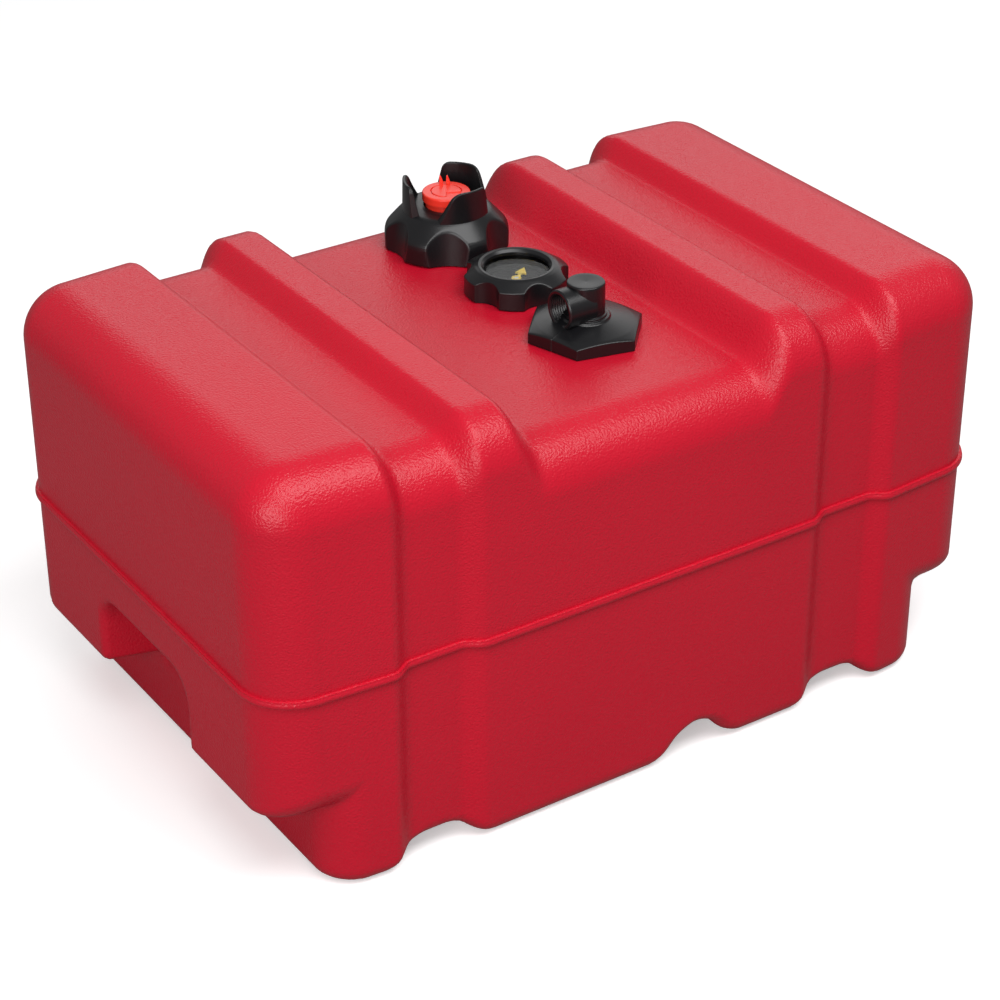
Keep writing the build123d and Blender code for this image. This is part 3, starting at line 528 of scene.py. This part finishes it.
def side_port(f):
    """Port turned about its own axis: a thick wall with a screw thread in the bore, where the radius follows a
    wave of the depth less the pitch times the turn."""
    corners = [(0, 2.5, 0), (3.5, 2.5, 0), (3.5, 7.5, 0), (10.5, 7.5, 0), (10.5, 20.6, 0), (11.7, 21.5, 0.2),
               (13.0, 21.5, 0.4), (13.9, 20.6, 0.4), (13.9, 0, 0), (0, 0, 0)]
    profile = rounded_line(corners, 0.22, False)

    def thread(radius, depth, angle):
        in_bore = (np.abs(radius - 10.5) < 0.02) & (depth > 8.2) & (depth < 20.4)
        wave = np.abs(((depth / f.port_pitch - angle / (2 * math.pi)) % 1) - 0.5) * 2
        return in_bore * 0.95 * wave, 0 * depth

    points, quads = turned_shell(profile, 144, False, swell=thread)
    laid = np.stack([-points[:, 2], points[:, 1], points[:, 0] + 23.0], -1)
    return laid, quads


# ---------------------------------------------------------------- materials
def node_group(name, sockets):
    """Empty shader group with the given (name, direction, kind, value) sockets."""
    group = bpy.data.node_groups.new(name, "ShaderNodeTree")
    for label, direction, kind, value in sockets:
        socket = group.interface.new_socket(label, in_out=direction, socket_type=kind)
        if value is not None:
            socket.default_value = value
    return group, group.nodes.new("NodeGroupInput"), group.nodes.new("NodeGroupOutput")


def wire(tree, source, target):
    """Link from one socket to another."""
    tree.links.new(source, target)


def camera_split(tree, unseen, seen, outlet):
    """Shows one shader to the camera and another to every other ray."""
    either = tree.nodes.new("ShaderNodeMixShader")
    wire(tree, tree.nodes.new("ShaderNodeLightPath").outputs["Is Camera Ray"], either.inputs[0])
    wire(tree, unseen.outputs[0], either.inputs[1])
    wire(tree, seen.outputs[0], either.inputs[2])
    wire(tree, either.outputs[0], outlet.inputs["Surface"])


def math_node(tree, operation, first, second):
    """One sum or product of two values or sockets."""
    node = tree.nodes.new("ShaderNodeMath")
    node.operation = operation
    for slot, value in enumerate((first, second)):
        if isinstance(value, bpy.types.NodeSocket):
            wire(tree, value, node.inputs[slot])
        elif value is not None:
            node.inputs[slot].default_value = value
    return node.outputs[0]


def make_grain():
    """Moulded grain: fine noise and small pebbles, put out as a height for bump."""
    sockets = [("Grain Size", "INPUT", "NodeSocketFloat", 1100.0), ("Pebble", "INPUT", "NodeSocketFloat", 0.6),
               ("Height", "OUTPUT", "NodeSocketFloat", None), ("Speckle", "OUTPUT", "NodeSocketFloat", None)]
    group, inlet, outlet = node_group("Moulded grain", sockets)
    place = group.nodes.new("ShaderNodeTexCoord").outputs["Object"]
    noise = group.nodes.new("ShaderNodeTexNoise")
    noise.inputs["Detail"].default_value = 2.0
    cells = group.nodes.new("ShaderNodeTexVoronoi")
    cells.feature = "SMOOTH_F1"
    for node in (noise, cells):
        wire(group, place, node.inputs["Vector"])
        wire(group, inlet.outputs["Grain Size"], node.inputs["Scale"])
    pebbles = math_node(group, "MULTIPLY", cells.outputs["Distance"], inlet.outputs["Pebble"])
    wire(group, math_node(group, "ADD", pebbles, noise.outputs["Fac"]), outlet.inputs["Height"])
    wire(group, noise.outputs["Fac"], outlet.inputs["Speckle"])
    return group


def make_handling():
    """Handling marks: soft cloudy patches and sparse fine scuffs, put out as masks from 0 to 1."""
    sockets = [("Patch Size", "INPUT", "NodeSocketFloat", 9.0), ("Cloud", "OUTPUT", "NodeSocketFloat", None),
               ("Scuff", "OUTPUT", "NodeSocketFloat", None)]
    group, inlet, outlet = node_group("Handling marks", sockets)
    place = group.nodes.new("ShaderNodeTexCoord").outputs["Object"]
    cloud = group.nodes.new("ShaderNodeTexNoise")
    cloud.inputs["Detail"].default_value = 3.0
    scuff = group.nodes.new("ShaderNodeTexNoise")
    scuff.inputs["Detail"].default_value = 5.0
    for node in (cloud, scuff):
        wire(group, place, node.inputs["Vector"])
    wire(group, inlet.outputs["Patch Size"], cloud.inputs["Scale"])
    wire(group, math_node(group, "MULTIPLY", inlet.outputs["Patch Size"], 14.0), scuff.inputs["Scale"])
    wire(group, cloud.outputs["Fac"], outlet.inputs["Cloud"])
    sparse = math_node(group, "SUBTRACT", scuff.outputs["Fac"], 0.62)
    sharp = group.nodes.new("ShaderNodeMath")
    sharp.operation = "MULTIPLY"
    sharp.use_clamp = True
    wire(group, sparse, sharp.inputs[0])
    sharp.inputs[1].default_value = 6.0
    wire(group, sharp.outputs[0], outlet.inputs["Scuff"])
    return group


def finish(name):
    """The finish made for a material slot."""
    return bpy.data.materials[name + "_finish"]


def make_finish(name, colour, roughness, spread=0.06, grain_size=1100.0, pebble=0.6, bump=0.15, bump_mm=0.1,
                metallic=0.0, mottle=0.06, settings=None):
    """Finish for one kind of piece: colour lightly mottled by the clouds, roughness spread by clouds and
    scuffs, and the moulded grain as bump."""
    material = bpy.data.materials.new(name + "_finish")
    material.use_nodes = True
    tree = material.node_tree
    shader = tree.nodes["Principled BSDF"]
    grain = tree.nodes.new("ShaderNodeGroup")
    grain.node_tree = bpy.data.node_groups["Moulded grain"]
    grain.inputs["Grain Size"].default_value = grain_size
    grain.inputs["Pebble"].default_value = pebble
    marks = tree.nodes.new("ShaderNodeGroup")
    marks.node_tree = bpy.data.node_groups["Handling marks"]
    tint = tree.nodes.new("ShaderNodeMix")
    tint.data_type = "RGBA"
    low = tuple(max(0.0, c * (1 - mottle)) for c in colour[:3]) + (1.0,)
    high = tuple(min(1.0, c * (1 + mottle)) for c in colour[:3]) + (1.0,)
    tint.inputs["A"].default_value, tint.inputs["B"].default_value = low, high
    wire(tree, marks.outputs["Cloud"], tint.inputs["Factor"])
    wire(tree, tint.outputs["Result"], shader.inputs["Base Color"])
    clouds = math_node(tree, "MULTIPLY", marks.outputs["Cloud"], spread)
    scuffs = math_node(tree, "MULTIPLY", marks.outputs["Scuff"], spread)
    rough = math_node(tree, "ADD", math_node(tree, "ADD", clouds, scuffs), roughness - spread / 2)
    wire(tree, rough, shader.inputs["Roughness"])
    lift = tree.nodes.new("ShaderNodeBump")
    lift.inputs["Strength"].default_value = bump
    lift.inputs["Distance"].default_value = bump_mm * MM
    wire(tree, grain.outputs["Height"], lift.inputs["Height"])
    wire(tree, lift.outputs["Normal"], shader.inputs["Normal"])
    shader.inputs["Metallic"].default_value = metallic
    for label, value in (settings or {}).items():
        shader.inputs[label].default_value = value
    return material


# ---------------------------------------------------------------- sizes and colours
def size(label, text, value):
    """Property for one size."""
    return bpy.props.FloatProperty(name=label, description=text, default=value)


def colour(label, text, value):
    """Property for one colour."""
    return bpy.props.FloatVectorProperty(name=label, description=text, default=value, size=3, min=0, max=1,
                                         subtype="COLOR")


class TankSizes(bpy.types.PropertyGroup):
    """Sizes of the moulded body, in millimetres."""
    length: size("Length", "Over the two end faces, mm", 572.0)
    width: size("Width", "Over the two long faces, mm", 357.0)
    height: size("Height", "Floor to the tops of ribs and ends, mm", 306.0)
    edge_r: size("Top edge radius", "Long top edges, mm", 36.0)
    corner_r: size("Corner radius", "Upright corners of the ends, mm", 36.6)
    end_taper: size("End taper", "How far the long faces run in at the ends, mm", 3.5)
    panel_drop: size("Panel drop", "Panel below the rib tops, mm", 29.0)
    valley_drop: size("Valley drop", "Depth of a valley across the top, mm", 15.0)
    valley_inset: size("Valley inset", "Depth of a valley down the long faces, mm", 7.5)
    panel_edge: size("Panel edge", "Half length of the flat panel, mm", 85.0)
    rib_in: size("Rib inner edge", "Inner edge of a rib's top, mm", 109.0)
    rib_out: size("Rib outer edge", "Outer edge of a rib's top, mm", 130.0)
    valley_in: size("Valley inner edge", "Inner edge of a valley's floor, mm", 148.0)
    valley_out: size("Valley outer edge", "Outer edge of a valley's floor, mm", 184.0)
    block_start: size("End block", "Where an end block begins, mm", 200.0)
    foot_out: size("Foot", "Outer wall of the outer feet, mm", 246.5)
    foot_corner_r: size("Foot corner", "Upright corner radius of the feet, mm", 28.0)
    sole_r: size("Sole radius", "Radius along the bottom edges, mm", 12.0)
    overhang: size("Overhang", "Underside of the ends, mm above the floor", 62.0)
    overhang_end_r: size("Overhang end radius", "Lower edge of an end face, mm", 6.0)
    overhang_side_r: size("Overhang side radius", "Lower edge of the long faces past the feet, mm", 22.0)
    grip_edge_r: size("Grip edge", "Softness of the hand grips' edges, mm", 5.0)
    bead_level: size("Bead level", "Parting bead above the floor, mm", 153.6)
    bead_out: size("Bead", "How far the parting bead stands out, mm", 3.0)
    bead_high: size("Bead height", "Height of the parting bead, mm", 6.0)
    flash: size("Flash", "Height of the flash line on the bead, mm", 0.6)
    row_x: size("Row", "Place of the row of fittings along the tank, mm", 25.0)
    cap_y: size("Cap place", "Filler cap across the tank, mm", 110.0)
    gauge_y: size("Gauge place", "Gauge across the tank, mm", 21.5)
    pickup_y: size("Pick-up place", "Pick-up across the tank, mm", -60.5)
    cell: size("Mesh size", "Grid cell of the body's mesh, mm", 3.7)


class FittingSizes(bpy.types.PropertyGroup):
    """Sizes of the cap, gauge and pick-up, in millimetres and degrees."""
    cap_r: size("Cap radius", "Outside radius of the filler cap, mm", 44.0)
    scoop_r: size("Scoop radius", "Radius of the scoops in the cap's rim, mm", 28.0)
    scoop_half: size("Scoop width", "Half width of a scoop at the rim, degrees", 16.7)
    scoop_lean: size("Scoop lean", "How far the scoops lean inwards, degrees", 10.0)
    well_r: size("Well radius", "Well that takes the vent button, mm", 16.0)
    fin_r: size("Fin radius", "Outer face of the cap's fins, mm", 31.2)
    fin_half: size("Fin half length", "From the middle of a fin to its end, mm", 20.5)
    fin_top: size("Fin height", "Nose of the cap's fins above the panel, mm", 50.9)
    fin_turn: size("Fin turn", "Turn of the first fin, degrees", -93.0)
    button_top: size("Button height", "Top of the vent button above the panel, mm", 41.0)
    wedge_turn: size("Wedge turn", "Middle of the sunk quarter in the button, degrees", -78.7)
    nut_r: size("Ring radius", "Outside radius of the gauge ring, mm", 36.5)
    recess_deep: size("Recess depth", "Depth of the recesses between the ring's lobes, mm", 5.5)
    hex_r: size("Hexagon radius", "Centre to corner of the pick-up's base, mm", 41.0)
    hex_turn: size("Hexagon turn", "Turn of the pick-up's base, degrees", 47.3)
    mould_line: size("Mould line", "Place of the fine line on the base, degrees", -164.0)
    port_pitch: size("Thread pitch", "Pitch of the side port's thread, mm", 1.8)


class TankColours(bpy.types.PropertyGroup):
    """Colours of the finishes."""
    tank: colour("Tank", "Moulded tank body", (0.56, 0.006, 0.024))
    black: colour("Black", "Cap, ring and fitting", (0.006, 0.006, 0.007))
    button: colour("Button", "Vent button", (0.86, 0.040, 0.022))
    pointer: colour("Pointer", "Gauge pointer", (0.80, 0.56, 0.07))
    natural: colour("Natural", "Inner moulded parts", (0.72, 0.69, 0.60))
    floor: colour("Floor", "Studio floor", (0.92, 0.92, 0.92))


def body_sizes():
    """Sizes of the moulded body."""
    return bpy.context.scene.tank_sizes


def fitting_sizes():
    """Sizes of the fittings."""
    return bpy.context.scene.fitting_sizes


# ---------------------------------------------------------------- operators
class TANK_OT_finishes(bpy.types.Operator):
    """Makes every finish and puts one on each carried-over piece"""
    bl_idname = "tank.finishes"
    bl_label = "Finishes"

    def execute(self, context):
        make_grain()
        make_handling()
        c = context.scene.tank_colours
        make_finish("tank_plastic", c.tank, 0.31, 0.08, 740.0, 1.0, 0.90, 0.32, mottle=0.05,
                    settings={"Specular IOR Level": 0.36})
        make_finish("black_plastic", c.black, 0.31, 0.08, 1300.0, 0.4, 0.20, 0.06,
                    settings={"Specular IOR Level": 0.46})
        make_finish("seal_rubber", (0.025, 0.025, 0.025), 0.75, 0.05, 900.0, 0.4, 0.2, 0.08)
        make_finish("button_plastic", c.button, 0.30, 0.06, 1600.0, 0.3, 0.08, 0.05)
        make_finish("natural_plastic", c.natural, 0.45, 0.06, 1200.0, 0.3, 0.1, 0.06)
        make_finish("bright_steel", (0.62, 0.62, 0.63), 0.28, 0.10, 2400.0, 0.1, 0.06, 0.03, metallic=1.0)
        make_finish("tube_aluminium", (0.72, 0.73, 0.74), 0.36, 0.10, 2000.0, 0.1, 0.08, 0.03, metallic=1.0)
        make_finish("pointer_plastic", c.pointer, 0.40, 0.05, 1600.0, 0.2, 0.05, 0.04)
        make_finish("float_foam", (0.045, 0.045, 0.045), 0.85, 0.05, 700.0, 0.8, 0.4, 0.15)
        make_finish("clear_window", (0.96, 0.97, 0.97), 0.06, 0.02, 900.0, 0.1, 0.02, 0.02, mottle=0.0,
                    settings={"Transmission Weight": 1.0, "IOR": 1.16})
        for row in frame["record"]["subparts"]:
            node = frame["nodes"][row["node"]]
            node.data.materials.clear()
            node.data.materials.append(finish(row["material_slot"]))
        return {"FINISHED"}


class TANK_OT_skin(bpy.types.Operator):
    """Makes the moulded body, its parting bead and the three necks"""
    bl_idname = "tank.skin"
    bl_label = "Tank body"

    def execute(self, context):
        s = body_sizes()

        def field(x, y, z):
            return tank_field(x, y, z, s)

        reach = (s.length / 2 + 6, s.width / 2 + 6)
        low, high = (-reach[0], -reach[1], -6), (reach[0], reach[1], s.height + 6)
        points, quads, normals = net_of(field, low, high, s.cell)
        if len(quads) < 1000:
            raise RuntimeError("the tank body's surface is empty")
        add_piece("tank_skin", [(points, quads)], "tank_plastic", "tank", ["tank_body"],
                  normals=normals)
        add_piece("parting_bead", [parting_bead(s)], "tank_plastic", "tank")
        filler = on_panel([neck_ring(30.0, 25.8, -16, 17, 2.5)], s.cap_y, s)
        gauge = on_panel([neck_ring(27.0, 23.5, -12, 8, 0)], s.gauge_y, s)
        pickup = on_panel([neck_ring(25.0, 20.0, -12, 8, 0)], s.pickup_y, s)
        add_piece("filler_neck", filler, "tank_plastic", "tank")
        add_piece("fitting_necks", gauge + pickup, "tank_plastic", "tank")
        return {"FINISHED"}


class TANK_OT_cap(bpy.types.Operator):
    """Makes the filler cap's outer shell with its fins, and the vent button"""
    bl_idname = "tank.cap"
    bl_label = "Filler cap"

    def execute(self, context):
        s, f = body_sizes(), fitting_sizes()
        fins = [turned_by(grip_fin(f), f.fin_turn + 120 * i) for i in range(3)]
        shells = on_panel([cap_shell(f)] + fins, s.cap_y, s)
        add_piece("cap_outer", shells, "black_plastic", "cap_shell", ["filler_cap"])
        tabs = [prong(x, y, f.button_top - 1, f.button_top + 6.4) for x, y in ((3.3, 11.7), (7.4, 9.0))]
        shells = on_panel([vent_button(f)] + tabs, s.cap_y, s)
        add_piece("vent_push_button", shells, "button_plastic", "vent_valve", ["vent_button"])
        return {"FINISHED"}


class TANK_OT_gauge(bpy.types.Operator):
    """Makes the gauge's lobed ring"""
    bl_idname = "tank.gauge"
    bl_label = "Gauge ring"

    def execute(self, context):
        s = body_sizes()
        shells = on_panel([ring_nut(fitting_sizes())], s.gauge_y, s)
        add_piece("gauge_ring", shells, "black_plastic", "tank", ["gauge_ring_nut"])
        return {"FINISHED"}


class TANK_OT_pickup(bpy.types.Operator):
    """Makes the fuel pick-up's hexagonal base, stem and threaded side port"""
    bl_idname = "tank.pickup"
    bl_label = "Fuel pick-up"

    def execute(self, context):
        s, f = body_sizes(), fitting_sizes()
        shells = on_panel((pickup_base(f), side_port(f)), s.pickup_y, s)
        add_piece("pickup_head", shells, "black_plastic", "tank", ["pickup_fitting"])
        return {"FINISHED"}


def studio_light(name, place, aim, wide, high, power):
    """Soft rectangular light at place that faces aim."""
    data = bpy.data.lights.new(name, "AREA")
    data.shape, data.size, data.size_y = "RECTANGLE", wide, high
    data.energy = power
    light = bpy.data.objects.new(name, data)
    bpy.context.scene.collection.objects.link(light)
    away = np.array(place, float) - np.array(aim, float)
    away = away / np.linalg.norm(away)
    side = np.cross((0, 0, 1), away)
    side = side / np.linalg.norm(side)
    turn = np.stack([side, np.cross(away, side), away], -1)
    light.matrix_world = Matrix.Translation(place) @ Matrix(turn.tolist()).to_4x4()
    return light


class TANK_OT_stage(bpy.types.Operator):
    """Makes the pale floor, the soft lights and the camera"""
    bl_idname = "tank.stage"
    bl_label = "Studio"

    def execute(self, context):
        scene = context.scene
        self.add_floor(scene)
        world = bpy.data.worlds.new("studio")
        world.use_nodes = True
        tree = world.node_tree
        lit = tree.nodes["Background"]
        seen = tree.nodes.new("ShaderNodeBackground")
        for node, strength in ((lit, WORLD_LIGHT), (seen, WORLD_SEEN)):
            node.inputs["Color"].default_value = (1, 1, 1, 1)
            node.inputs["Strength"].default_value = strength
        camera_split(tree, lit, seen, tree.nodes["World Output"])
        scene.world = world
        for light in LIGHTS:
            studio_light(*light)
        scene.view_settings.view_transform = "Standard"
        scene.camera = self.add_camera()
        return {"FINISHED"}

    def add_floor(self, scene):
        """Flat pale floor. What the camera sees is bright, and what it sends back to the object is dimmer."""
        mesh = bpy.data.meshes.new("floor")
        corners = [(x * FLOOR_HALF, y * FLOOR_HALF, 0) for x, y in ((-1, -1), (1, -1), (1, 1), (-1, 1))]
        mesh.from_pydata(corners, [], [(0, 1, 2, 3)])
        floor = bpy.data.objects.new("floor", mesh)
        scene.collection.objects.link(floor)
        material = bpy.data.materials.new("studio_floor")
        material.use_nodes = True
        tree = material.node_tree
        seen = tree.nodes["Principled BSDF"]
        seen.inputs["Base Color"].default_value = tuple(scene.tank_colours.floor) + (1.0,)
        seen.inputs["Roughness"].default_value = 0.9
        seen.inputs["Specular IOR Level"].default_value = 0.0
        seen.inputs["Emission Color"].default_value = (1, 1, 1, 1)
        seen.inputs["Emission Strength"].default_value = FLOOR_GLOW
        bounced = tree.nodes.new("ShaderNodeBsdfDiffuse")
        bounced.inputs["Color"].default_value = (FLOOR_BOUNCE,) * 3 + (1.0,)
        camera_split(tree, bounced, seen, tree.nodes["Material Output"])
        mesh.materials.append(material)

    def add_camera(self):
        """Camera from its yaw, pitch and roll: the view vector, then right and up square to it."""
        cy, sy = math.cos(CAMERA_YAW), math.sin(CAMERA_YAW)
        cp, sp = math.cos(CAMERA_PITCH), math.sin(CAMERA_PITCH)
        cr, sr = math.cos(CAMERA_ROLL), math.sin(CAMERA_ROLL)
        ahead = np.array([cp * sy, cp * cy, -sp])
        level = np.array([cy, -sy, 0.0])
        upright = np.cross(level, ahead)
        right, up = cr * level + sr * upright, -sr * level + cr * upright
        data = bpy.data.cameras.new("camera")
        data.sensor_width, data.lens = CAMERA_SENSOR, CAMERA_LENS
        data.shift_x, data.shift_y = CAMERA_SHIFT
        data.clip_end = 50.0
        camera = bpy.data.objects.new("camera", data)
        bpy.context.scene.collection.objects.link(camera)
        turn = np.stack([right, up, -ahead], -1)
        camera.matrix_world = Matrix.Translation(CAMERA_AT) @ Matrix(turn.tolist()).to_4x4()
        return camera


class TANK_PT_panel(bpy.types.Panel):
    """Lists the steps that dress the tank"""
    bl_idname = "TANK_PT_panel"
    bl_label = "Fuel Tank"
    bl_space_type = "VIEW_3D"
    bl_region_type = "UI"
    bl_category = "Fuel Tank"

    def draw(self, context):
        for step in STEPS:
            self.layout.operator(step.bl_idname)


STEPS = (TANK_OT_finishes, TANK_OT_skin, TANK_OT_cap, TANK_OT_gauge, TANK_OT_pickup, TANK_OT_stage)
GROUPS = (("tank_sizes", TankSizes), ("fitting_sizes", FittingSizes), ("tank_colours", TankColours))


def register():
    for label, group in GROUPS:
        bpy.utils.register_class(group)
        setattr(bpy.types.Scene, label, bpy.props.PointerProperty(type=group))
    for step in STEPS:
        bpy.utils.register_class(step)
    bpy.utils.register_class(TANK_PT_panel)


def unregister():
    bpy.utils.unregister_class(TANK_PT_panel)
    for step in reversed(STEPS):
        bpy.utils.unregister_class(step)
    for label, group in reversed(GROUPS):
        delattr(bpy.types.Scene, label)
        bpy.utils.unregister_class(group)


def main():
    register()
    bpy.ops.tank.finishes()
    bpy.ops.tank.skin()
    bpy.ops.tank.cap()
    bpy.ops.tank.gauge()
    bpy.ops.tank.pickup()
    bpy.ops.tank.stage()


if __name__ == "__main__":
    main()
